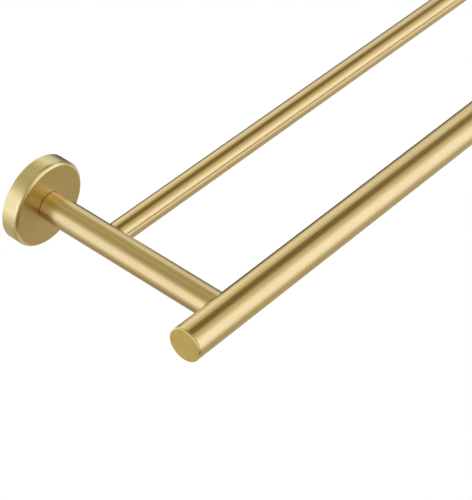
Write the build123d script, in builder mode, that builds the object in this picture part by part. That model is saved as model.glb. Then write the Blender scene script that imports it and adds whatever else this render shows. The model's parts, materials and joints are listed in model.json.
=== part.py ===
from build123d import *

import os

# Double towel rack: a thick front bar and a thin rear bar, carried by two arms that stand out from
# the wall.
#
# Frame, in millimetres: +X runs along the bars, +Y points into the wall and +Z is up. The origin
# lies on the wall plane, midway between the arms, at the height of their axes.
#
# Each arm is clamped between its flange and the front bar by one long tie bolt, which runs inside
# the arm into a barrel nut inside the bar. The rear bar slips over a spigot at each end, where a set
# screw holds it from below. Each flange slips over a plate that is screwed to the wall, where a
# cone-point set screw holds it from below.

# ---- layout ----
bar_length = 600.0  # front bar, over its end caps
bar_overhang = 31.0  # front bar beyond each arm's axis
front_distance = 129.0  # wall to the front bar's axis
rear_distance = 50.5  # wall to the rear bar's axis
arm_offset = bar_length / 2 - bar_overhang  # middle of the rack to an arm's axis

# ---- tubes ----
front_radius, front_bore_radius = 9.5, 8.5
rear_radius, rear_bore_radius = 6.35, 5.35
arm_radius, arm_bore_radius = 8.0, 6.8
arm_end_round = 0.9  # on the arm's outer edge, where it meets the flange

# ---- fits ----
seat_gap = 0.05  # play where one piece sits on or screws into another
press_gap = 0.02  # play left at a press fit, which keeps the two solids apart
edge_break = 0.25
run_out = 1.0  # how far a drilled hole's cut starts or ends outside the metal

# ---- flange and wall plate ----
flange_radius, flange_depth, flange_face_thickness = 24.5, 10.2, 3.0
flange_pocket_radius = 21.8
flange_edge_round = 2.4
flange_floor_distance = flange_depth - flange_face_thickness  # wall to the pocket's floor
plate_radius, plate_thickness = 21.5, 5.0
plate_window_radius = 7.5  # clears the tie bolt's head
groove_distance, groove_depth = 2.75, 1.5  # groove round the plate's rim, for the set screw
slot_length, slot_width = 8.0, 4.4

# ---- wall screws ----
wall_screw_rise = 14.0  # each screw's height above or below the arm's axis
shank_radius, neck_radius, screw_head_radius = 2.0, 2.4, 3.6
shank_length, screw_length, screw_tip_length = 6.0, 30.0, 3.6  # lengths behind the wall plane
screw_root_radius, screw_crest_radius, screw_pitch = 1.45, 1.95, 1.6
screw_head_sink = 0.1  # head below the plate's face
cross_width, cross_bar, cross_depth = 4.0, 0.9, 1.3

# ---- tie bolt ----
bolt_radius, bolt_root_radius, bolt_hole_radius = 3.0, 2.45, 3.3
bolt_head_radius, bolt_head_height = 5.0, 4.0
bolt_length, bolt_thread_length, bolt_pitch = 125.0, 16.0, 1.0
bolt_hex_flats, bolt_hex_depth = 4.0, 2.2
washer_radius, washer_hole_radius, washer_thickness, washer_slit = 5.9, 3.1, 1.4, 1.0
bolt_seat_distance = flange_floor_distance - washer_thickness  # wall to the bolt head's underside
boss_radius, boss_height = 4.0, 2.5
base_plug_length, saddle_plug_length = 10.0, 16.0
nut_length, nut_thread_depth = 18.0, 12.0

# ---- rear bar's joint ----
block_length = 14.0
stud_radius, stud_start = 2.5, 3.6  # the stud starts clear of the tie bolt
spigot_radius, spigot_length = 4.0, 15.0
spigot_flat_depth, spigot_flat_inset = 3.4, 4.0
end_plug_inset, end_plug_length, end_plug_socket_depth = 9.0, 20.0, 16.0
rear_screw_offset = 17.0  # arm's axis to the rear bar's set screw

# ---- set screws ----
set_screw_radius = 1.95
set_screw_hex_flats, set_screw_hex_depth = 2.0, 1.5
set_screw_sink = 0.2
cone_tip_radius, cone_tip_height = 0.4, 20.75  # the tip's distance below the arm's axis

# ---- end caps ----
cap_thickness, cap_plug_length, cap_plug_wall = 1.0, 8.0, 1.2
cap_edge_round = 0.5

sides = {"left": -1, "right": 1}


def from_wall(side, distance=0.0, rise=0.0):
    """A plane parallel to the wall, centred on an arm's axis, that faces the room."""
    centre = (side * arm_offset, -distance, rise)
    return Plane(origin=centre, x_dir=(1, 0, 0), z_dir=(0, -1, 0))


def along_rear_bar(side, offset):
    """A plane square to the rear bar, at an offset from the arm's axis, that faces mid-rack."""
    centre = (side * (arm_offset - offset), -rear_distance, 0)
    return Plane(origin=centre, x_dir=(0, 0, 1), z_dir=(-side, 0, 0))


def across_front_bar(position):
    """A plane square to the front bar, centred on the bar's axis, that faces +X."""
    return Plane(origin=(position, -front_distance, 0), x_dir=(0, 1, 0), z_dir=(1, 0, 0))


def under_rear_bar(side, height):
    """A level plane on the axis of the rear bar's set screw."""
    centre = (side * (arm_offset - rear_screw_offset), -rear_distance, height)
    return Plane(origin=centre, x_dir=(1, 0, 0), z_dir=(0, 0, 1))


def under_flange(side, height):
    """A level plane on the axis of the flange's set screw."""
    centre = (side * arm_offset, -groove_distance, height)
    return Plane(origin=centre, x_dir=(1, 0, 0), z_dir=(0, 0, 1))


def bore(plane, radius, depth):
    """Cuts a round hole that starts on a plane and runs along its +Z."""
    start = (Align.CENTER, Align.CENTER, Align.MIN)
    with Locations(plane):
        Cylinder(radius, depth, align=start, mode=Mode.SUBTRACT)


def hexagon_socket(plane, flats, depth):
    """Cuts a hexagon socket that starts on a plane and runs along its +Z."""
    with BuildSketch(plane) as hexagon:
        RegularPolygon(flats / 2, side_count=6, major_radius=False)
    extrude(hexagon.sketch, amount=depth, mode=Mode.SUBTRACT)


def front_bar_seat():
    """Cuts away the front bar's envelope, which leaves a saddle that fits round the bar."""
    with Locations(across_front_bar(0)):
        Cylinder(front_radius + seat_gap, bar_length, mode=Mode.SUBTRACT)


def turned(outline, centre, direction, mode=Mode.ADD):
    """Turns an outline of (distance along the axis, radius) points about that axis."""
    with BuildSketch(Plane(origin=centre, x_dir=direction, z_dir=(1, 0, 0))) as profile:
        with BuildLine():
            Polyline(*outline, close=True)
        make_face()
    revolve(profile.sketch, axis=Axis(centre, direction), mode=mode)


def write_piece(piece, name):
    """Labels a finished piece and writes its STEP file."""
    piece.part.label = name
    export_step(piece.part, f"parts/{name}.step")


def wall_screws(side):
    """Two countersunk screws, each with a plain shank behind the wall plane and then a thread."""
    head_top = screw_head_sink - plate_thickness
    head_base = head_top + screw_head_radius - neck_radius
    outline = [(head_top, 0), (head_top, screw_head_radius), (head_base, neck_radius)]
    outline += [(0, neck_radius), (0, shank_radius), (shank_length, shank_radius)]
    thread_end = screw_length - screw_tip_length
    for turn in range(int((thread_end - shank_length) / screw_pitch)):
        start = shank_length + turn * screw_pitch
        outline.append((start + screw_pitch * 0.35, screw_root_radius))
        outline.append((start + screw_pitch * 0.80, screw_crest_radius))
    outline += [(thread_end, screw_root_radius), (screw_length, 0)]
    with BuildPart() as screws:
        for rise in (wall_screw_rise, -wall_screw_rise):
            turned(outline, (side * arm_offset, 0, rise), (0, 1, 0))
            with BuildSketch(from_wall(side, -head_top, rise)):
                Rectangle(cross_width, cross_bar)
                Rectangle(cross_bar, cross_width)
            extrude(amount=-cross_depth, mode=Mode.SUBTRACT)
    return screws


def wall_plate(side):
    """A disc with two countersunk holes, two spare slots and a groove round its rim."""
    groove_bottom = plate_radius - groove_depth
    groove = [
        (groove_distance, groove_bottom),
        (groove_distance - groove_depth, plate_radius),
        (groove_distance - groove_depth, plate_radius + 1),
        (groove_distance + groove_depth, plate_radius + 1),
        (groove_distance + groove_depth, plate_radius),
    ]
    with BuildPart() as plate:
        with BuildSketch(from_wall(side)):
            Circle(plate_radius)
        extrude(amount=plate_thickness)
        chamfer(plate.edges().filter_by(GeomType.CIRCLE), length=edge_break)
        turned(groove, (side * arm_offset, 0, 0), (0, -1, 0), mode=Mode.SUBTRACT)
        with BuildSketch(from_wall(side)):
            Circle(plate_window_radius)
            with Locations((wall_screw_rise, 0), (-wall_screw_rise, 0)):
                SlotOverall(slot_length, slot_width, rotation=90)
        extrude(amount=plate_thickness, mode=Mode.SUBTRACT)
        with Locations(
            from_wall(side, plate_thickness, wall_screw_rise),
            from_wall(side, plate_thickness, -wall_screw_rise),
        ):
            CounterSinkHole(neck_radius + 0.1, screw_head_radius + 0.25, counter_sink_angle=90)
    return plate


def flange(side):
    """A turned cup that hides the wall plate, with the arm on its face and a set screw in its rim."""
    with BuildPart() as cup:
        with BuildSketch(from_wall(side)):
            Circle(flange_radius)
        extrude(amount=flange_depth)
        front_rim, back_rim = cup.edges().filter_by(GeomType.CIRCLE).sort_by(Axis.Y)
        fillet(front_rim, radius=flange_edge_round)
        chamfer(back_rim, length=edge_break)
        bore(from_wall(side), flange_pocket_radius, flange_floor_distance)
        bore(from_wall(side), boss_radius + seat_gap, flange_depth)
        below_rim = under_flange(side, -flange_radius - run_out)
        bore(below_rim, set_screw_radius + seat_gap, flange_radius + run_out - plate_radius)
    return cup


def flange_set_screw(side):
    """A socket set screw whose cone point sits in the wall plate's groove."""
    head = flange_radius - set_screw_sink
    shoulder = cone_tip_height + set_screw_radius - cone_tip_radius
    outline = [
        (head, 0),
        (head, set_screw_radius - edge_break),
        (head - edge_break, set_screw_radius),
        (shoulder, set_screw_radius),
        (cone_tip_height, cone_tip_radius),
        (cone_tip_height, 0),
    ]
    with BuildPart() as screw:
        turned(outline, under_flange(side, 0).origin, (0, 0, -1))
        hexagon_socket(under_flange(side, -head), set_screw_hex_flats, set_screw_hex_depth)
    return screw


def arm_tube(side):
    """The arm, square at the flange and coped at its outer end to sit on the front bar."""
    with BuildPart() as arm:
        with BuildSketch(from_wall(side, flange_depth + seat_gap)):
            Circle(arm_radius)
        extrude(amount=front_distance - flange_depth)
        wall_end = arm.edges().filter_by(GeomType.CIRCLE).sort_by(Axis.Y)[-1]
        fillet(wall_end, radius=arm_end_round)
        bore(from_wall(side), arm_bore_radius, 2 * front_distance)
        front_bar_seat()
        bore(along_rear_bar(side, 0), stud_radius + seat_gap, arm_radius + run_out)
    return arm


def arm_base_plug(side):
    """A plug pressed into the arm's wall end, whose boss centres the arm on the flange."""
    with BuildPart() as plug:
        with BuildSketch(from_wall(side, flange_depth + seat_gap)):
            Circle(arm_bore_radius - press_gap)
        extrude(amount=base_plug_length)
        with BuildSketch(from_wall(side, flange_depth - boss_height)):
            Circle(boss_radius)
        extrude(amount=boss_height + seat_gap)
        bore(from_wall(side), bolt_hole_radius, front_distance)
    return plug


def arm_saddle_plug(side):
    """A plug pressed into the arm's outer end and coped with it, which takes the bar's thrust."""
    start = front_distance - front_radius - saddle_plug_length
    with BuildPart() as plug:
        with BuildSketch(from_wall(side, start)):
            Circle(arm_bore_radius - press_gap)
        extrude(amount=front_distance - start)
        bore(from_wall(side), bolt_hole_radius, front_distance)
        front_bar_seat()
    return plug


def lock_washer(side):
    """A split spring washer under the tie bolt's head."""
    slit_centre = (washer_radius + washer_hole_radius) / 2
    with BuildPart() as washer:
        with BuildSketch(from_wall(side, bolt_seat_distance)):
            Circle(washer_radius)
            Circle(washer_hole_radius, mode=Mode.SUBTRACT)
            with Locations((0, slit_centre)):
                Rectangle(washer_slit, washer_radius, mode=Mode.SUBTRACT)
        extrude(amount=washer_thickness)
    return washer


def tie_bolt(side):
    """A long socket bolt that runs the length of the arm into the barrel nut."""
    head_top = bolt_seat_distance - bolt_head_height
    tip = bolt_seat_distance + bolt_length
    thread_start = tip - bolt_thread_length
    outline = [
        (head_top, 0),
        (head_top, bolt_head_radius - edge_break),
        (head_top + edge_break, bolt_head_radius),
        (bolt_seat_distance, bolt_head_radius),
        (bolt_seat_distance, bolt_radius),
        (thread_start, bolt_radius),
    ]
    for turn in range(int(bolt_thread_length / bolt_pitch) - 1):
        start = thread_start + turn * bolt_pitch
        outline.append((start + bolt_pitch / 2, bolt_root_radius))
        outline.append((start + bolt_pitch, bolt_radius))
    outline += [(tip - bolt_pitch / 2, bolt_root_radius), (tip, bolt_root_radius), (tip, 0)]
    with BuildPart() as bolt:
        turned(outline, (side * arm_offset, 0, 0), (0, -1, 0))
        hexagon_socket(from_wall(side, head_top), bolt_hex_flats, bolt_hex_depth)
    return bolt


def barrel_nut(side):
    """A round nut inside the front bar, drilled across for the tie bolt."""
    with BuildPart() as nut:
        with BuildSketch(across_front_bar(side * arm_offset - nut_length / 2)):
            Circle(front_bore_radius - seat_gap)
        extrude(amount=nut_length)
        chamfer(nut.edges().filter_by(GeomType.CIRCLE), length=2 * edge_break)
        bore(
            from_wall(side, front_distance - front_bore_radius),
            bolt_radius + seat_gap,
            nut_thread_depth,
        )
    return nut


def spigot_block(side):
    """A sleeve pressed into the arm that takes the spigot's stud. The tie bolt runs through it."""
    with BuildPart() as block:
        with BuildSketch(from_wall(side, rear_distance - block_length / 2)):
            Circle(arm_bore_radius - press_gap)
        extrude(amount=block_length)
        bore(from_wall(side), bolt_hole_radius, front_distance)
        bore(along_rear_bar(side, 0), stud_radius + seat_gap, arm_radius)
    return block


def rear_bar_spigot(side):
    """The peg that the rear bar slips over, with a flat underneath for the set screw."""
    shoulder = arm_radius + seat_gap
    flat_height = -spigot_flat_depth
    with BuildPart() as spigot:
        with BuildSketch(along_rear_bar(side, shoulder)):
            Circle(spigot_radius)
        extrude(amount=spigot_length)
        tip_face = spigot.faces().sort_by(Axis.X)[-1 if side < 0 else 0]
        chamfer(tip_face.edges(), length=2 * edge_break)
        with BuildSketch(along_rear_bar(side, stud_start)):
            Circle(stud_radius)
        extrude(amount=shoulder - stud_start)
        with BuildSketch(along_rear_bar(side, shoulder + spigot_flat_inset)):
            with Locations((flat_height - spigot_radius / 2, 0)):
                Rectangle(spigot_radius, 2 * spigot_radius)
        extrude(amount=spigot_length, mode=Mode.SUBTRACT)
    return spigot


def rear_bar_end_plug(side):
    """A sleeve pressed into the rear bar's end, with a socket for the spigot and a set screw hole."""
    with BuildPart() as plug:
        with BuildSketch(along_rear_bar(side, end_plug_inset)):
            Circle(rear_bore_radius - press_gap)
        extrude(amount=end_plug_length)
        bore(
            along_rear_bar(side, end_plug_inset),
            spigot_radius + seat_gap,
            end_plug_socket_depth,
        )
        bore(under_rear_bar(side, -rear_radius), set_screw_radius + seat_gap, rear_radius)
    return plug


def rear_bar_set_screw(side):
    """A flat-point socket set screw that bears on the spigot's flat."""
    bottom = set_screw_sink - rear_radius
    length = -spigot_flat_depth - seat_gap - bottom
    with BuildPart() as screw:
        with BuildSketch(under_rear_bar(side, bottom)):
            Circle(set_screw_radius)
        extrude(amount=length)
        chamfer(screw.edges().filter_by(GeomType.CIRCLE), length=edge_break)
        hexagon_socket(under_rear_bar(side, bottom), set_screw_hex_flats, set_screw_hex_depth)
    return screw


def front_bar_end_cap(side):
    """A flush cap with a hollow plug that is pressed into the front bar."""
    joint = side * (bar_length / 2 - cap_thickness)
    plug_radius = front_bore_radius - press_gap
    with BuildPart() as cap:
        with BuildSketch(across_front_bar(joint)):
            Circle(front_radius)
        extrude(amount=side * cap_thickness)
        inner_edge, outer_edge = cap.edges().filter_by(GeomType.CIRCLE).sort_by(Axis.X)[:: side]
        fillet(outer_edge, radius=cap_edge_round)
        chamfer(inner_edge, length=edge_break)
        with BuildSketch(across_front_bar(joint)):
            Circle(plug_radius)
            Circle(plug_radius - cap_plug_wall, mode=Mode.SUBTRACT)
        extrude(amount=-side * cap_plug_length)
    return cap


def front_bar():
    """The thick bar, with a hole in its back at each arm for the tie bolt."""
    tube_length = bar_length - 2 * cap_thickness
    with BuildPart() as bar:
        with BuildSketch(across_front_bar(-tube_length / 2)):
            Circle(front_radius)
            Circle(front_bore_radius, mode=Mode.SUBTRACT)
        extrude(amount=tube_length)
        chamfer(bar.edges().filter_by(GeomType.CIRCLE), length=edge_break)
        for side in sides.values():
            behind_bar = from_wall(side, front_distance - front_radius - run_out)
            bore(behind_bar, bolt_hole_radius, front_radius + run_out)
    return bar


def rear_bar():
    """The thin bar, coped at both ends to sit on the arms, with a set screw hole near each end."""
    with BuildPart() as bar:
        with BuildSketch(along_rear_bar(sides["left"], 0)):
            Circle(rear_radius)
            Circle(rear_bore_radius, mode=Mode.SUBTRACT)
        extrude(amount=2 * arm_offset)
        for side in sides.values():
            bore(from_wall(side), arm_radius + seat_gap, front_distance)
            below_bar = under_rear_bar(side, -rear_radius - run_out)
            bore(below_bar, set_screw_radius + seat_gap, rear_radius + run_out)
    return bar


paired_pieces = (
    wall_screws,
    wall_plate,
    flange,
    flange_set_screw,
    arm_tube,
    arm_base_plug,
    arm_saddle_plug,
    lock_washer,
    tie_bolt,
    barrel_nut,
    spigot_block,
    rear_bar_spigot,
    rear_bar_end_plug,
    rear_bar_set_screw,
    front_bar_end_cap,
)

os.makedirs("parts", exist_ok=True)
for make_piece in (front_bar, rear_bar):
    write_piece(make_piece(), make_piece.__name__)
for make_piece in paired_pieces:
    for side_name, side in sides.items():
        write_piece(make_piece(side), f"{make_piece.__name__}_{side_name}")
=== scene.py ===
import json
import math

import bmesh
import bpy
from mathutils import Matrix, Vector


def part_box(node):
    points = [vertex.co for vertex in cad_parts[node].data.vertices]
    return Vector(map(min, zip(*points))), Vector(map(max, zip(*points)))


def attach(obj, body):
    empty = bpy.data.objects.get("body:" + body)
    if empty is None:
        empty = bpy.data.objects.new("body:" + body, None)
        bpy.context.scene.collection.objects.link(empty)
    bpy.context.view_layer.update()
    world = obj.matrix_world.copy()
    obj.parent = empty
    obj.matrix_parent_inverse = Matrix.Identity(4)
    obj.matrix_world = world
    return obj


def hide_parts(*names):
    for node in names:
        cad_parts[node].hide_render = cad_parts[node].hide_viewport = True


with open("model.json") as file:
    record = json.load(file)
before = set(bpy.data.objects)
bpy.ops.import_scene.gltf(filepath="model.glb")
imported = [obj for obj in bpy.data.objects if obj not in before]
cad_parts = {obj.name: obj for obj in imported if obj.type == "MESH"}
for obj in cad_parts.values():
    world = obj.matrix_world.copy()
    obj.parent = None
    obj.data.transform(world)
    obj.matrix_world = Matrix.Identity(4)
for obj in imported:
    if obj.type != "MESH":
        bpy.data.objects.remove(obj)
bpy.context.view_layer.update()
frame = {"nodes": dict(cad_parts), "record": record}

# Towel rack in satin gold. The frame is the CAD model's, in metres: +X along the bars, +Y into the
# wall, +Z up, with the origin on the wall plane midway between the arms.

MM = 0.001
SIDES = ("left", "right")


# ---- sizes, read from the frame where it holds them ---------------------------------------------
def middle(node):
    low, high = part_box(node)
    return (Vector(low) + Vector(high)) / 2


def span(node, axis):
    low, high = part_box(node)
    return high[axis] - low[axis]


X, Y, Z = 0, 1, 2
MOUNTS = {mount["name"]: Vector(mount["pos_m"]) for mount in frame["record"]["mounts"]}
FRONT_AXIS = MOUNTS["front_rail"]
REAR_AXIS = MOUNTS["rear_rail"]
FRONT_RADIUS = 9.5 * MM
REAR_RADIUS = 6.35 * MM
ARM_RADIUS = 8.0 * MM
FLANGE_RADIUS = 24.5 * MM
FLANGE_DEPTH = 10.2 * MM
ARM_X = {side: MOUNTS[f"flange_{side}_rim"].x for side in SIDES}
BAR_END = {side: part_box("front_bar")[0 if side == "left" else 1][X] for side in SIDES}
CAP_END = {side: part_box(f"front_bar_end_cap_{side}")[0 if side == "left" else 1][X] for side in SIDES}

FRONT_BORE = 8.5 * MM
REAR_BORE = 5.35 * MM
ARM_BORE = 6.8 * MM
SEAT_GAP = 0.05 * MM
TUBE_EDGE = 0.3 * MM
ARM_WALL_EDGE = 0.5 * MM
BAR_EDGE = 0.25 * MM
CAP_EDGE = 0.5 * MM
FLANGE_EDGE = 2.4 * MM
FLANGE_POCKET = 21.8 * MM
FLANGE_FLOOR = 7.2 * MM
FLANGE_HOLE = 4.05 * MM
FLANGE_BACK_EDGE = 0.25 * MM
FLANGE_RIM_RING = 2 * MM  # from the front edge's round to the next ring of the rim
CAP_PLUG = 8.48 * MM
CAP_PLUG_BORE = 7.28 * MM
CAP_PLUG_LENGTH = 8.0 * MM
SET_SCREW_HOLE = 2.0 * MM
FLANGE_DRILLING = 5 * MM  # how deep the set screw's hole is cut, from 1 mm below the rim

SEGMENTS = 160  # round a tube
FLANGE_SEGMENTS = 192
HOLE_SEGMENTS = 48
RING_SPACING = 8 * MM  # along a tube
TUBE_EDGE_STEPS = 5
FLANGE_EDGE_STEPS = 9
CAP_EDGE_STEPS = 6
FLANGE_FACE_RINGS = 10
CAP_FACE_RINGS = 6
SHARP_ANGLE = math.radians(28)  # edges sharper than this stay sharp
WELD = 1e-7
LARGE_FACE_WEIGHT = 80  # above 50 favours the large faces' normals


# ---- meshes -------------------------------------------------------------------------------------
def mark_sharp_edges(bm):
    for edge in bm.edges:
        edge.smooth = edge.calc_face_angle(0.0) < SHARP_ANGLE


def new_object(name, bm):
    """Makes an object from a bmesh, smooth except at its sharp edges."""
    bmesh.ops.remove_doubles(bm, verts=bm.verts, dist=WELD)
    bmesh.ops.recalc_face_normals(bm, faces=bm.faces)
    for face in bm.faces:
        face.smooth = True
    mark_sharp_edges(bm)
    mesh = bpy.data.meshes.new(name)
    bm.to_mesh(mesh)
    bm.free()
    piece = bpy.data.objects.new(name, mesh)
    bpy.context.scene.collection.objects.link(piece)
    return piece


def weighted_normals(piece):
    """Keeps the flat and cylindrical faces true, and puts the shading of an edge in its own round."""
    modifier = piece.modifiers.new("weighted_normals", "WEIGHTED_NORMAL")
    modifier.keep_sharp = True
    modifier.weight = LARGE_FACE_WEIGHT


def swept_ring(name, centre, direction, upright, profile_at, segments=SEGMENTS):
    """Turns a closed profile, which may change with the angle, about an axis.

    profile_at(angle) gives (distance along the axis, radius) points, always the same number.
    The angle is measured from upright.
    """
    axis = Vector(direction)
    first = Vector(upright)
    second = axis.cross(first)
    bm = bmesh.new()
    rings = []
    for step in range(segments):
        angle = 2 * math.pi * step / segments
        outward = first * math.cos(angle) + second * math.sin(angle)
        places = [centre + axis * along + outward * radius for along, radius in profile_at(angle)]
        rings.append([bm.verts.new(place) for place in places])
    for step, ring in enumerate(rings):
        following = rings[(step + 1) % segments]
        for index, vert in enumerate(ring):
            after = (index + 1) % len(ring)
            corners = [vert, ring[after], following[after], following[index]]
            bm.faces.new(corners)
    bmesh.ops.remove_doubles(bm, verts=bm.verts, dist=WELD)
    bmesh.ops.dissolve_degenerate(bm, edges=bm.edges, dist=WELD / 10)
    return new_object(name, bm)


def round_edge(radius, steps=TUBE_EDGE_STEPS):
    """Points of a quarter round, as (how far in along the axis, how far in towards the axis)."""
    turns = [math.pi / 2 * step / steps for step in range(steps + 1)]
    return [(radius * (1 - math.cos(turn)), radius * (1 - math.sin(turn))) for turn in turns]


def tube_profile(start_at, end_at, outer, bore, edges, length):
    """A tube wall's outline, with rounded outer edges.

    start_at(radius) and end_at(radius) give where the tube starts and ends at that radius.
    """
    start_edge, end_edge = edges
    points = [(start_at(bore), bore)]
    for along, inward in round_edge(start_edge):
        points.append((start_at(outer - inward) + along, outer - inward))
    first = start_at(outer) + start_edge
    last = end_at(outer) - end_edge
    rings = int(length / RING_SPACING)
    points += [(first + (last - first) * ring / rings, outer) for ring in range(1, rings)]
    for along, inward in reversed(round_edge(end_edge)):
        points.append((end_at(outer - inward) - along, outer - inward))
    points.append((end_at(bore), bore))
    return points


def cut_round_hole(piece, centre, direction, radius, depth):
    """Drills a round hole with a boolean, and applies it."""
    axis = Vector(direction)
    side = axis.orthogonal().normalized()
    profile = [(0.0, 0.0), (0.0, radius), (depth, radius), (depth, 0.0)]
    name = piece.name + "_cutter"
    cutter = swept_ring(name, Vector(centre), axis, side, lambda angle: profile, HOLE_SEGMENTS)
    modifier = piece.modifiers.new("hole", "BOOLEAN")
    modifier.operation = "DIFFERENCE"
    modifier.solver = "EXACT"
    modifier.object = cutter
    bpy.context.view_layer.update()
    evaluated = piece.evaluated_get(bpy.context.evaluated_depsgraph_get())
    drilled = bpy.data.meshes.new_from_object(evaluated)
    piece.modifiers.clear()
    piece.data = drilled
    bpy.data.objects.remove(cutter)
    bm = bmesh.new()
    bm.from_mesh(drilled)
    mark_sharp_edges(bm)
    bm.to_mesh(drilled)
    bm.free()


# ---- materials ----------------------------------------------------------------------------------
GOLD = (0.86, 0.68, 0.37)
GOLD_ROUGHNESS = 0.21
FLANGE_RIM_GOLD = (0.97, 0.83, 0.47)
FLANGE_RIM_ROUGHNESS = 0.28
FLANGE_RIM_BRUSHING = 0.3
FLANGE_FACE_WITH_PAINTED_SHADE = ((0.73, 0.56, 0.27), 0.34, 0.25)  # colour, roughness, brushing; the colour is darker than the rim's, a painted shade standing in for the face's darker reflections
CAP_FACE = ((0.97, 0.76, 0.28), 0.29, 0.7)  # the same
STEEL = (0.62, 0.61, 0.58)
BLACK_STEEL = (0.10, 0.10, 0.105)
BRASS = (0.72, 0.56, 0.28)
MARK_SHADE = (0.90, 0.88, 0.82, 1.0)
WORN_SHADE = (1.05, 1.05, 1.05, 1.0)
FINE_MARKS = 5200.0  # noise scales, so marks of about 0.2 mm, 0.7 mm and clouds of 17 mm
COARSE_MARKS = 1500.0
CLOUDS = 60.0
FINE_SHARE = 0.7
COARSE_SHARE = 0.3
MARK_DRIFT = 0.02  # how fast the marks change round the axis, against along it
MARK_HEIGHT = 0.02 * MM
MARK_STRENGTH = 0.02
HIGHLIGHT_TURN = 0.25  # of a turn, so that a highlight spreads across the marks
# What a value turns into: from low, from high, to low, to high.
POINTINESS_TO_WEAR = (0.52, 0.60, 0.0, 1.0)
NORMAL_TO_END_FACE = (0.90, 0.99, 0.0, 1.0)
MARKS_TO_SHADE = (0.35, 0.65, 0.0, 0.4)
CLOUDS_TO_SHADE = (0.35, 0.70, 0.0, 0.35)
MARKS_TO_ROUGHNESS = (0.3, 0.7, -0.02, 0.03)
CLOUDS_TO_ROUGHNESS = (0.3, 0.7, -0.015, 0.02)
WEAR_TO_SHADE = 0.6  # the share of WORN_SHADE on a fully worn edge
WEAR_TO_POLISH = 0.06  # and the roughness that the edge loses


class Nodes:
    """Short ways to add and link the nodes of a material or of the world."""

    def __init__(self, tree):
        self.tree = tree
        tree.nodes.clear()

    def add(self, kind, inputs=(), **settings):
        node = self.tree.nodes.new(kind)
        for name, value in settings.items():
            setattr(node, name, value)
        for key, value in dict(inputs).items():
            if isinstance(value, bpy.types.NodeSocket):
                self.tree.links.new(value, node.inputs[key])
            else:
                node.inputs[key].default_value = value
        return node

    def math(self, operation, first, second=0.0):
        return self.add("ShaderNodeMath", {0: first, 1: second}, operation=operation).outputs[0]

    def remap(self, value, low, high, to_low, to_high, smooth=False):
        kind = "SMOOTHSTEP" if smooth else "LINEAR"
        inputs = {"Value": value, "From Min": low, "From Max": high, "To Min": to_low, "To Max": to_high}
        return self.add("ShaderNodeMapRange", inputs, interpolation_type=kind).outputs["Result"]

    def noise(self, vector, scale, detail=3.0, roughness=0.5):
        inputs = {"Vector": vector, "Scale": scale, "Detail": detail, "Roughness": roughness}
        return self.add("ShaderNodeTexNoise", inputs).outputs["Fac"]

    def mix(self, factor, first, second, blend="MIX"):
        node = self.add("ShaderNodeMix", data_type="RGBA", blend_type=blend)
        for socket, value in ((0, factor), (6, first), (7, second)):
            if isinstance(value, bpy.types.NodeSocket):
                self.tree.links.new(value, node.inputs[socket])
            else:
                node.inputs[socket].default_value = value
        return node.outputs[2]


def turned_coordinates(nodes, centre, axis):
    """Coordinates for marks that run round an axis: fine along it and outwards, long round it."""
    position = nodes.add("ShaderNodeTexCoord").outputs["Object"]
    local = nodes.add("ShaderNodeVectorMath", {0: position, 1: centre}, operation="SUBTRACT").outputs[0]
    parts = nodes.add("ShaderNodeSeparateXYZ", {0: local}).outputs
    across = [parts[index] for index in (X, Y, Z) if index != axis]
    squares = [nodes.math("MULTIPLY", value, value) for value in across]
    radius = nodes.math("SQRT", nodes.math("ADD", squares[0], squares[1]))
    drift = nodes.math("MULTIPLY", nodes.math("ADD", across[0], across[1]), MARK_DRIFT)
    combined = nodes.add("ShaderNodeCombineXYZ", {0: parts[axis], 1: radius, 2: drift})
    return combined.outputs[0], position


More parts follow.
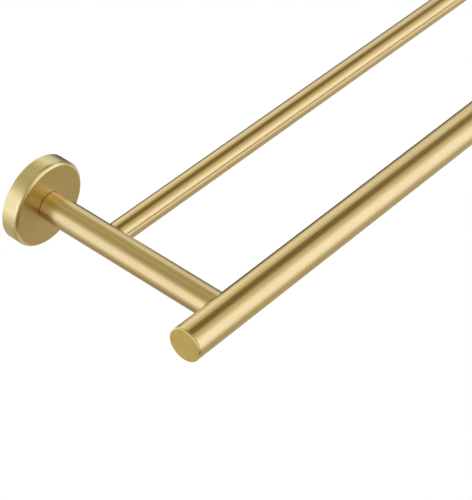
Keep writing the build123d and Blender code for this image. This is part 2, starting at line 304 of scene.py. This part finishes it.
def satin_metal(name, colour, roughness, centre, axis, brushing=0.7, end_finish=None):
    """Metal with fine marks round an axis, faint clouding and slightly polished edges.

    end_finish is the colour, roughness and brushing of the faces square to the axis.
    """
    end_colour, end_roughness, end_brushing = end_finish or (colour, roughness, brushing)
    material = bpy.data.materials.new(name)
    material.use_nodes = True
    nodes = Nodes(material.node_tree)
    turned, position = turned_coordinates(nodes, centre, axis)
    fine = nodes.noise(turned, FINE_MARKS, detail=2.0, roughness=0.6)
    coarse = nodes.noise(turned, COARSE_MARKS, detail=2.0, roughness=0.5)
    cloud = nodes.noise(position, CLOUDS, detail=4.0, roughness=0.55)
    fine_part = nodes.math("MULTIPLY", fine, FINE_SHARE)
    coarse_part = nodes.math("MULTIPLY", coarse, COARSE_SHARE)
    marks = nodes.math("ADD", fine_part, coarse_part)
    geometry = nodes.add("ShaderNodeNewGeometry").outputs
    worn = nodes.remap(geometry["Pointiness"], *POINTINESS_TO_WEAR, smooth=True)
    normal = nodes.add("ShaderNodeSeparateXYZ", {0: geometry["Normal"]}).outputs[axis]
    end_face = nodes.remap(nodes.math("ABSOLUTE", normal), *NORMAL_TO_END_FACE, smooth=True)
    # For the flanges the end faces' colour is darker than the rim's: a painted shade.
    plain = nodes.mix(end_face, colour + (1.0,), end_colour + (1.0,))
    mark_shade = nodes.remap(marks, *MARKS_TO_SHADE)
    cloud_shade = nodes.remap(cloud, *CLOUDS_TO_SHADE)
    worn_shade = nodes.math("MULTIPLY", worn, WEAR_TO_SHADE)
    toned = nodes.mix(mark_shade, plain, MARK_SHADE, blend="MULTIPLY")
    clouded = nodes.mix(cloud_shade, toned, MARK_SHADE, blend="MULTIPLY")
    shown = nodes.mix(worn_shade, clouded, WORN_SHADE, blend="MULTIPLY")
    plain_rough = nodes.remap(end_face, 0.0, 1.0, roughness, end_roughness)
    marked_rough = nodes.math("ADD", plain_rough, nodes.remap(marks, *MARKS_TO_ROUGHNESS))
    clouded_rough = nodes.math("ADD", marked_rough, nodes.remap(cloud, *CLOUDS_TO_ROUGHNESS))
    final_rough = nodes.math("SUBTRACT", clouded_rough, nodes.math("MULTIPLY", worn, WEAR_TO_POLISH))
    relief = {"Strength": MARK_STRENGTH, "Distance": MARK_HEIGHT, "Height": marks}
    bump = nodes.add("ShaderNodeBump", relief)
    round_axis = nodes.add("ShaderNodeTangent", direction_type="RADIAL", axis="XYZ"[axis])
    shader_inputs = {
        "Base Color": shown,
        "Roughness": final_rough,
        "Metallic": 1.0,
        "Anisotropic": brushing,
        "Anisotropic Rotation": HIGHLIGHT_TURN,
        "Tangent": round_axis.outputs[0],
        "Normal": bump.outputs[0],
    }
    if end_brushing != brushing:
        shader_inputs["Anisotropic"] = nodes.remap(end_face, 0.0, 1.0, brushing, end_brushing)
    shader = nodes.add("ShaderNodeBsdfPrincipled", shader_inputs)
    nodes.add("ShaderNodeOutputMaterial", {"Surface": shader.outputs[0]})
    return material


def dress(piece, material):
    piece.data.materials.clear()
    piece.data.materials.append(material)


def finish_piece(piece, node, material):
    """Gives a new piece its material, and puts it in its CAD node's place."""
    weighted_normals(piece)
    dress(piece, material)
    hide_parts(node)
    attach(piece, "rack")


# ---- gold pieces --------------------------------------------------------------------------------
def make_front_bar():
    start = BAR_END["left"] - FRONT_AXIS.x
    end = BAR_END["right"] - FRONT_AXIS.x
    sizes = (FRONT_RADIUS, FRONT_BORE, (BAR_EDGE, BAR_EDGE), end - start)
    profile = tube_profile(lambda radius: start, lambda radius: end, *sizes)
    bar = swept_ring("front_bar_tube", FRONT_AXIS, (1, 0, 0), (0, 0, 1), lambda angle: profile)
    material = satin_metal("satin_gold_front_bar", GOLD, GOLD_ROUGHNESS, tuple(FRONT_AXIS), X)
    finish_piece(bar, "front_bar", material)


def make_rear_bar():
    """The rear bar's ends are coped to sit on the arms."""
    seat = ARM_RADIUS + SEAT_GAP

    def profile(angle):
        def cope(radius):
            rise = radius * math.cos(angle)
            return math.sqrt(seat * seat - rise * rise)

        def start(radius):
            return ARM_X["left"] - REAR_AXIS.x + cope(radius)

        def end(radius):
            return ARM_X["right"] - REAR_AXIS.x - cope(radius)

        edges = (TUBE_EDGE, TUBE_EDGE)
        return tube_profile(start, end, REAR_RADIUS, REAR_BORE, edges, span("rear_bar", X))

    bar = swept_ring("rear_bar_tube", REAR_AXIS, (1, 0, 0), (0, 0, 1), profile)
    for side in SIDES:
        screw = middle(f"rear_bar_set_screw_{side}")
        below = Vector((screw.x, screw.y, -REAR_RADIUS - MM))
        cut_round_hole(bar, below, (0, 0, 1), SET_SCREW_HOLE, REAR_RADIUS)
    material = satin_metal("satin_gold_rear_bar", GOLD, GOLD_ROUGHNESS, tuple(REAR_AXIS), X)
    finish_piece(bar, "rear_bar", material)


def make_arm(side):
    """The arm is square at the flange and coped round the front bar."""
    seat = FRONT_RADIUS + SEAT_GAP
    centre = Vector((ARM_X[side], 0, 0))
    flange_face = FLANGE_DEPTH + SEAT_GAP

    def profile(angle):
        def end(radius):
            rise = radius * math.cos(angle)
            return -FRONT_AXIS.y - math.sqrt(seat * seat - rise * rise)

        sizes = (ARM_RADIUS, ARM_BORE, (ARM_WALL_EDGE, TUBE_EDGE), span(f"arm_tube_{side}", Y))
        return tube_profile(lambda radius: flange_face, end, *sizes)

    arm = swept_ring(f"arm_{side}", centre, (0, -1, 0), (0, 0, 1), profile)
    material = satin_metal(f"satin_gold_arm_{side}", GOLD, GOLD_ROUGHNESS, tuple(centre), Y)
    finish_piece(arm, f"arm_tube_{side}", material)


def make_flange(side):
    """A cup: a pocket at the back for the wall plate, and a hole in the face for the tie bolt."""
    centre = Vector((ARM_X[side], 0, 0))
    profile = [
        (0.0, FLANGE_POCKET),
        (0.0, FLANGE_RADIUS - FLANGE_BACK_EDGE),
        (FLANGE_BACK_EDGE, FLANGE_RADIUS),
        (FLANGE_DEPTH - FLANGE_EDGE - FLANGE_RIM_RING, FLANGE_RADIUS),
    ]
    for along, inward in reversed(round_edge(FLANGE_EDGE, FLANGE_EDGE_STEPS)):
        profile.append((FLANGE_DEPTH - along, FLANGE_RADIUS - inward))
    face_start = FLANGE_RADIUS - FLANGE_EDGE
    for ring in range(1, FLANGE_FACE_RINGS + 1):
        radius = face_start + (FLANGE_HOLE - face_start) * ring / FLANGE_FACE_RINGS
        profile.append((FLANGE_DEPTH, radius))
    profile += [(FLANGE_FLOOR, FLANGE_HOLE), (FLANGE_FLOOR, FLANGE_POCKET)]
    name = f"flange_cup_{side}"
    flange = swept_ring(name, centre, (0, -1, 0), (0, 0, 1), lambda angle: profile, FLANGE_SEGMENTS)
    screw = middle(f"flange_set_screw_{side}")
    below = Vector((screw.x, screw.y, -FLANGE_RADIUS - MM))
    cut_round_hole(flange, below, (0, 0, 1), SET_SCREW_HOLE, FLANGE_DRILLING)
    # The face gets a darker colour than the rim, as painted shade for its darker reflections.
    material = satin_metal(
        f"satin_gold_flange_{side}",
        FLANGE_RIM_GOLD,
        FLANGE_RIM_ROUGHNESS,
        tuple(centre),
        Y,
        brushing=FLANGE_RIM_BRUSHING,
        end_finish=FLANGE_FACE_WITH_PAINTED_SHADE,
    )
    finish_piece(flange, f"flange_{side}", material)


def make_end_cap(side):
    """A disc with a hollow plug that goes into the bar's bore."""
    direction = -1 if side == "left" else 1
    centre = Vector((BAR_END[side], FRONT_AXIS.y, FRONT_AXIS.z))
    thickness = abs(CAP_END[side] - BAR_END[side])
    profile = [
        (0.0, 0.0),
        (0.0, CAP_PLUG_BORE),
        (-CAP_PLUG_LENGTH, CAP_PLUG_BORE),
        (-CAP_PLUG_LENGTH, CAP_PLUG),
        (0.0, CAP_PLUG),
        (0.0, FRONT_RADIUS - BAR_EDGE),
        (BAR_EDGE, FRONT_RADIUS),
    ]
    for along, inward in reversed(round_edge(CAP_EDGE, CAP_EDGE_STEPS)):
        profile.append((thickness - along, FRONT_RADIUS - inward))
    face_start = FRONT_RADIUS - CAP_EDGE
    for ring in range(1, CAP_FACE_RINGS + 1):
        profile.append((thickness, face_start * (1 - ring / CAP_FACE_RINGS)))
    cap = swept_ring(f"end_cap_{side}", centre, (direction, 0, 0), (0, 0, 1), lambda angle: profile)
    material = satin_metal(
        f"satin_gold_end_cap_{side}",
        GOLD,
        GOLD_ROUGHNESS,
        tuple(centre),
        X,
        end_finish=CAP_FACE,
    )
    finish_piece(cap, f"front_bar_end_cap_{side}", material)


make_front_bar()
make_rear_bar()
for side in SIDES:
    make_arm(side)
    make_flange(side)
    make_end_cap(side)


# ---- CAD nodes that stay ------------------------------------------------------------------------
# colour, roughness and axis of the turning marks
STAYING = {
    "wall_plate": (STEEL, 0.34, Y),
    "wall_screws": (STEEL, 0.28, Y),
    "tie_bolt": (STEEL, 0.30, Y),
    "lock_washer": (STEEL, 0.32, Y),
    "barrel_nut": (STEEL, 0.30, X),
    "flange_set_screw": (BLACK_STEEL, 0.35, Z),
    "rear_bar_set_screw": (BLACK_STEEL, 0.35, Z),
    "arm_base_plug": (BRASS, 0.30, Y),
    "arm_saddle_plug": (BRASS, 0.30, Y),
    "spigot_block": (BRASS, 0.30, Y),
    "rear_bar_spigot": (BRASS, 0.30, X),
    "rear_bar_end_plug": (BRASS, 0.30, X),
}
for kind, (colour, roughness, axis) in STAYING.items():
    for side in SIDES:
        node = f"{kind}_{side}"
        material = satin_metal(f"{node}_metal", colour, roughness, tuple(middle(node)), axis)
        dress(frame["nodes"][node], material)


# ---- studio -------------------------------------------------------------------------------------
BACKDROP_REACH = 12.0  # metres each way
FLOOR_HEIGHT = -0.6
WALL_GAP = 0.3 * MM  # behind the flanges' backs


def make_backdrop(name, place):
    """A plain white sheet, seen from its front only. place(across, along) gives a point of it."""
    corners = [(-1, -1), (1, -1), (1, 1), (-1, 1)]
    corners = [(BACKDROP_REACH * across, BACKDROP_REACH * along) for across, along in corners]
    bm = bmesh.new()
    bm.faces.new([bm.verts.new(place(across, along)) for across, along in corners])
    mesh = bpy.data.meshes.new(name)
    bm.to_mesh(mesh)
    bm.free()
    sheet = bpy.data.objects.new(name, mesh)
    bpy.context.scene.collection.objects.link(sheet)
    material = bpy.data.materials.new(f"white_{name}")
    material.use_nodes = True
    nodes = Nodes(material.node_tree)
    glow = nodes.add("ShaderNodeEmission", {"Color": (1, 1, 1, 1), "Strength": 1.0})
    clear = nodes.add("ShaderNodeBsdfTransparent")
    behind = nodes.add("ShaderNodeNewGeometry").outputs["Backfacing"]
    mixed = nodes.add("ShaderNodeMixShader", {0: behind, 1: glow.outputs[0], 2: clear.outputs[0]})
    nodes.add("ShaderNodeOutputMaterial", {"Surface": mixed.outputs[0]})
    dress(sheet, material)
    sheet.visible_glossy = False
    sheet.visible_diffuse = False
    sheet.visible_shadow = False
    return sheet


# The white tent's own tone at each elevation, in degrees.
TENT_TONES = [
    (-90, (0.46, 0.42, 0.28)),
    (-48, (0.48, 0.44, 0.30)),
    (-30, (0.62, 0.59, 0.50)),
    (-14, (1.04, 1.06, 1.10)),
    (4, (1.15, 1.18, 1.30)),
    (22, (1.10, 1.12, 1.20)),
    (34, (0.72, 0.70, 0.58)),
    (46, (0.46, 0.42, 0.26)),
    (54, (0.39, 0.36, 0.22)),
    (90, (0.39, 0.36, 0.22)),
]
# Lighter and darker panels of the tent: direction, degrees to where it starts to fade and to where
# it ends, and the tone that multiplies the tent's.
PANELS = [
    ((0.58, 0.56, 0.60), 8, 22, (1.12, 1.15, 1.12)),
    ((0.59, 0.77, 0.28), 8, 24, (0.88, 0.87, 0.78)),
    ((0.58, 0.80, -0.16), 8, 20, (0.70, 0.66, 0.58)),
    ((-0.68, 0.48, 0.55), 8, 24, (0.88, 0.88, 0.86)),
    ((0.01, 0.51, 0.86), 3, 13, (1.25, 1.29, 1.38)),
    ((0.57, -0.58, 0.58), 8, 24, (1.10, 1.10, 1.12)),
    ((0.60, -0.62, -0.50), 8, 26, (0.88, 0.86, 0.82)),
    ((0.17, -0.46, 0.87), 9, 25, (1.85, 1.95, 2.20)),
    ((0.26, -0.90, -0.34), 5, 15, (1.40, 1.50, 1.60)),
    ((0.87, 0.50, 0.15), 7, 25, (0.64, 0.64, 0.66)),
    ((-0.08, -0.30, -0.95), 12, 30, (1.28, 1.30, 1.70)),
    ((-0.24, 0.40, -0.88), 10, 30, (0.64, 0.64, 0.64)),
    ((-0.37, -0.63, -0.65), 10, 22, (0.50, 0.45, 0.36)),
    ((-0.10, 0.90, -0.42), 28, 38, (1.72, 1.80, 2.15)),
]
# Dark gaps between the panels: the same, with the gap's own tone.
GAPS = [
    ((0.585, 0.07, 0.808), 10, 21, (0.18, 0.12, 0.04)),
    ((0.66, 0.62, -0.42), 14, 33, (0.05, 0.04, 0.02)),
    ((0.97, 0.02, 0.05), 14, 32, (0.25, 0.21, 0.12)),
    ((-0.20, -0.78, -0.58), 16, 40, (0.18, 0.13, 0.05)),
    ((-0.42, -0.88, 0.15), 14, 34, (0.32, 0.25, 0.12)),
    ((-0.66, -0.60, -0.45), 10, 26, (0.18, 0.13, 0.05)),
    ((-0.76, -0.64, 0.10), 9, 18, (0.32, 0.25, 0.12)),
    ((-0.62, -0.68, 0.38), 9, 18, (0.45, 0.38, 0.20)),
    ((-0.58, 0.81, 0.00), 12, 20, (0.12, 0.09, 0.04)),
]
GAPS_FADE = (-0.75, -0.65)  # the heights between which the gaps fade out towards the floor


def make_studio_light():
    """A white tent round the rack: bright at the horizon, dimmer above and below, with gaps.

    The camera sees plain white instead of the tent.
    """
    world = bpy.data.worlds.new("studio")
    world.use_nodes = True
    bpy.context.scene.world = world
    nodes = Nodes(world.node_tree)
    direction = nodes.add("ShaderNodeTexCoord").outputs["Generated"]
    height = nodes.add("ShaderNodeSeparateXYZ", {0: direction}).outputs[Z]
    ramp = nodes.add("ShaderNodeValToRGB", {"Fac": nodes.remap(height, -1.0, 1.0, 0.0, 1.0)})
    ramp.color_ramp.interpolation = "LINEAR"
    elements = ramp.color_ramp.elements
    while len(elements) < len(TENT_TONES):
        elements.new(0.5)  # its own place is set below
    for element, (elevation, tone) in zip(elements, TENT_TONES):
        element.position = (math.sin(math.radians(elevation)) + 1) / 2
        element.color = tone + (1.0,)
    tent = ramp.outputs["Color"]
    for centre, inner, outer, tone in PANELS:
        panel = facing(nodes, direction, centre, inner, outer)
        tent = nodes.mix(panel, tent, tone + (1.0,), blend="MULTIPLY")
    above_floor = nodes.remap(height, *GAPS_FADE, 0.0, 1.0, smooth=True)
    for centre, inner, outer, tone in GAPS:
        gap = nodes.math("MULTIPLY", facing(nodes, direction, centre, inner, outer), above_floor)
        tent = nodes.mix(gap, tent, tone + (1.0,))
    seen = nodes.add("ShaderNodeLightPath").outputs["Is Camera Ray"]
    shown = nodes.mix(seen, tent, (1.0, 1.0, 1.0, 1.0))
    background = nodes.add("ShaderNodeBackground", {"Color": shown, "Strength": 1.0})
    nodes.add("ShaderNodeOutputWorld", {"Surface": background.outputs[0]})


def facing(nodes, direction, centre, inner, outer):
    """1 within inner degrees of a direction, fading to 0 at outer degrees."""
    unit = tuple(Vector(centre).normalized())
    product = nodes.add("ShaderNodeVectorMath", {0: direction, 1: unit}, operation="DOT_PRODUCT")
    fade_end = math.cos(math.radians(outer))
    fade_start = math.cos(math.radians(inner))
    return nodes.remap(product.outputs["Value"], fade_end, fade_start, 0.0, 1.0, smooth=True)


# The camera as solved from the photograph: it looks at a point given from the left arm's root.
CAMERA_AZIMUTH = math.radians(-52.629)
CAMERA_ELEVATION = math.radians(41.277)
CAMERA_ROLL = math.radians(3.947)
CAMERA_DISTANCE = 1.15696
CAMERA_TARGET = Vector((ARM_X["left"] + 0.09498, -0.060, -0.06150))
CAMERA_LENS = 151.42
CAMERA_SENSOR = 36.0
CAMERA_CLIP = (0.05, 60.0)


def make_camera():
    """The camera looks down on the rack's left-hand end, from its left and its front."""
    level = math.cos(CAMERA_ELEVATION)
    back = Vector(
        (
            math.sin(CAMERA_AZIMUTH) * level,
            -math.cos(CAMERA_AZIMUTH) * level,
            math.sin(CAMERA_ELEVATION),
        )
    )
    data = bpy.data.cameras.new("camera")
    data.sensor_width = CAMERA_SENSOR
    data.lens = CAMERA_LENS
    data.clip_start, data.clip_end = CAMERA_CLIP
    camera = bpy.data.objects.new("camera", data)
    bpy.context.scene.collection.objects.link(camera)
    level_right = (-back).cross(Vector((0, 0, 1))).normalized()
    level_up = level_right.cross(-back)
    right = level_right * math.cos(CAMERA_ROLL) + level_up * math.sin(CAMERA_ROLL)
    up = level_up * math.cos(CAMERA_ROLL) - level_right * math.sin(CAMERA_ROLL)
    place = CAMERA_TARGET + back * CAMERA_DISTANCE
    rows = [[right[i], up[i], back[i], place[i]] for i in range(3)]
    camera.matrix_world = Matrix(rows + [[0, 0, 0, 1]])
    bpy.context.scene.camera = camera


floor = make_backdrop("floor", lambda across, along: (across, along, FLOOR_HEIGHT))
wall = make_backdrop("wall", lambda across, along: (across, WALL_GAP, along))
make_studio_light()
make_camera()
bpy.context.scene.view_settings.view_transform = "Standard"
bpy.context.scene.view_settings.look = "None"
